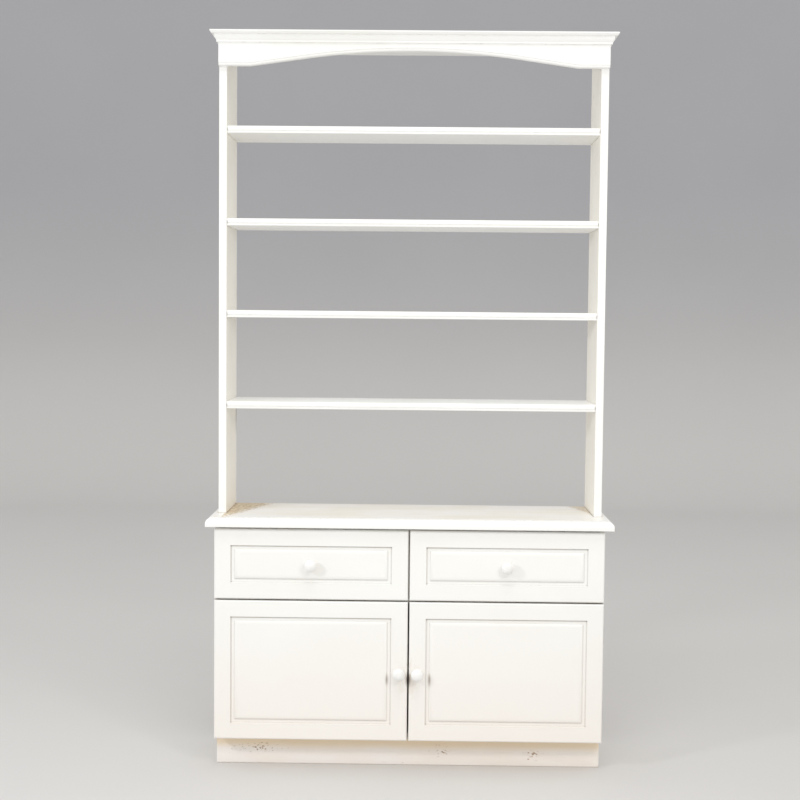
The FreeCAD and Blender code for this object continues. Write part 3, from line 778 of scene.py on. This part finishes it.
def hinge_screw_heads(side, node, body, face_y, direction):
    """Three screw heads down both plates of a node, set in from the edge nearest the middle."""
    low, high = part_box(node)
    plate_x = high.x - hinge_screw_inset if side == "left" else low.x + hinge_screw_inset
    pitch = (hinge_plate_height - 2 * hinge_screw_margin) / (hinge_screw_count - 1)
    shape = bmesh.new()
    for plate_low in (low.z, high.z - hinge_plate_height):
        for number in range(hinge_screw_count):
            z = plate_low + hinge_screw_margin + pitch * number
            disc_head(shape, Vector((plate_x, face_y, z)), direction,
                      screw_head_radius, screw_head_rise)
    dress(object_of(node + "_screws", shape, hinge_steel), body)


frame_plate_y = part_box("base_right_side")[0].y - hinge_plate_thickness
door_plate_y = door_high.y + hinge_plate_thickness
for side in ("left", "right"):
    hinge_screw_heads(side, f"{side}_hinge_frame_leaves", "carcass", frame_plate_y, forward)
    hinge_screw_heads(side, f"{side}_hinge_door_leaves", f"{side}_door", door_plate_y, rearward)


def back_panel_pins():
    """The panel pins round the edge of the hardboard back."""
    low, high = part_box("base_back_panel")
    shape = bmesh.new()
    columns = round((high.x - low.x) / pin_pitch)
    rows = round((high.z - low.z) / pin_pitch)
    for column in range(columns + 1):
        x = low.x + pin_inset + (high.x - low.x - 2 * pin_inset) * column / columns
        for row in range(rows + 1):
            if column in (0, columns) or row in (0, rows):
                z = low.z + pin_inset + (high.z - low.z - 2 * pin_inset) * row / rows
                disc_head(shape, Vector((x, high.y, z)), rearward, pin_head_radius, pin_head_rise)
    dress(object_of("back_panel_pins", shape, hinge_steel), "carcass")


back_panel_pins()


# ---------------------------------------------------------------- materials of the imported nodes

def refinish(material, *nodes):
    """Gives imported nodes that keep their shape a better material."""
    for node in nodes:
        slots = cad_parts[node].data.materials
        slots.clear()
        slots.append(material)


refinish(carcass_level_paint, "base_bottom", "base_divider", "front_top_rail", "rear_top_rail",
         "cupboard_shelf")
refinish(carcass_upright_paint, "drawer_partition")
refinish(back_board, "base_back_panel", "left_drawer_bottom", "right_drawer_bottom")
refinish(pine_lengthwise, "shelf_battens", "drawer_runners",
         "left_drawer_outer_side", "left_drawer_inner_side",
         "right_drawer_outer_side", "right_drawer_inner_side")
refinish(pine_crosswise, "left_drawer_back", "right_drawer_back")
refinish(hinge_steel, "left_hinge_frame_leaves", "right_hinge_frame_leaves",
         "left_hinge_door_leaves", "right_hinge_door_leaves",
         "left_door_strike_plate", "right_door_strike_plate")
refinish(catch_plastic, "door_catches")

# ---------------------------------------------------------------- floor, light and camera

floor_half_width = 8.0
floor_front = -12.0
sweep_start = 5.0
sweep_radius = 1.2
sweep_steps = 16
sweep_height = 2.8

lamp_spread = math.radians(150)
side_lamp_size = 0.32
overhead_lamp_size = 1.6

camera_place = Vector((16.85, -3812.0, 1233.0)) * MM
camera_yaw = -0.01234
camera_pitch = 0.05902
camera_roll = 0.009303
focal_length_px = 1377.0
picture_width_px = 800.0
camera_far_clip = 60.0


def studio_sweep():
    """A level floor that curves up behind into a plain backdrop."""
    shape = bmesh.new()
    ends = [shape.verts.new((x, floor_front, 0.0)) for x in (-floor_half_width, floor_half_width)]
    strip = [shape.edges.new(ends)]

    def extruded(edges, shift):
        """Sweeps edges out along a shift, and gives the far edge."""
        made = bmesh.ops.extrude_edge_only(shape, edges=edges)["geom"]
        bmesh.ops.translate(shape, vec=shift,
                            verts=[item for item in made if isinstance(item, bmesh.types.BMVert)])
        return [item for item in made if isinstance(item, bmesh.types.BMEdge)
                and all(vertex in made for vertex in item.verts)
                and abs(item.verts[0].co.x - item.verts[1].co.x) > floor_half_width]

    rear = extruded(strip, (0.0, sweep_start - floor_front, 0.0))
    spun = bmesh.ops.spin(shape, geom=rear, cent=(0.0, sweep_start, sweep_radius), axis=(1, 0, 0),
                          angle=math.pi / 2, steps=sweep_steps)["geom_last"]
    top = [item for item in spun if isinstance(item, bmesh.types.BMEdge)]
    extruded(top, (0.0, 0.0, sweep_height))
    object_of("studio_sweep", shape, studio_card())


def soft_box(name, place, aim, size, power, colour):
    """A square soft box with a shallow grid, at a place and facing a point of the dresser."""
    light = bpy.data.lights.new(name, "AREA")
    light.shape = "SQUARE"
    light.size = size
    light.spread = lamp_spread
    light.energy = power
    light.color = linear(colour)[:3]
    lamp = bpy.data.objects.new(name, light)
    away = Vector(place) - Vector(aim)
    lamp.matrix_world = (Matrix.Translation(Vector(place))
                         @ away.to_track_quat("Z", "Y").to_matrix().to_4x4())
    lamp.visible_camera = False
    bpy.context.scene.collection.objects.link(lamp)


def fill_light(colour, strength):
    """Even light from all round."""
    world = bpy.data.worlds.new("studio_fill")
    bpy.context.scene.world = world
    world.use_nodes = True
    fill = world.node_tree.nodes["Background"]
    fill.inputs["Color"].default_value = linear(colour)
    fill.inputs["Strength"].default_value = strength


def aimed_camera():
    """The camera, turned, dipped and rolled by small angles from looking straight along +Y."""
    data = bpy.data.cameras.new("camera")
    data.sensor_width = 36.0
    data.lens = focal_length_px / picture_width_px * data.sensor_width
    data.clip_end = camera_far_clip
    ahead = Vector((math.sin(camera_yaw) * math.cos(camera_pitch),
                    math.cos(camera_yaw) * math.cos(camera_pitch), -math.sin(camera_pitch)))
    level = Vector((math.cos(camera_yaw), -math.sin(camera_yaw), 0.0))
    upward = level.cross(ahead)
    right = math.cos(camera_roll) * level + math.sin(camera_roll) * upward
    up = math.cos(camera_roll) * upward - math.sin(camera_roll) * level
    turn = Matrix((right, up, -ahead)).transposed().to_4x4()
    camera = bpy.data.objects.new("camera", data)
    camera.matrix_world = Matrix.Translation(camera_place) @ turn
    bpy.context.scene.collection.objects.link(camera)
    bpy.context.scene.camera = camera


studio_sweep()
soft_box("soft_box_left", place=(-2.15, -1.9, 1.8), aim=(0.0, -0.1, 0.8), size=side_lamp_size,
         power=12.2, colour="#f6f9ff")
soft_box("soft_box_right", place=(0.95, -1.9, 1.75), aim=(0.2, -0.1, 0.8), size=side_lamp_size,
         power=5.6, colour="#fefaf5")
soft_box("soft_box_above", place=(0.0, -2.0, 4.6), aim=(0.0, 0.0, 0.7), size=overhead_lamp_size,
         power=20.0, colour="#fffffc")
fill_light("#fffffe", strength=0.8)
aimed_camera()
bpy.context.scene.view_settings.view_transform = "Standard"
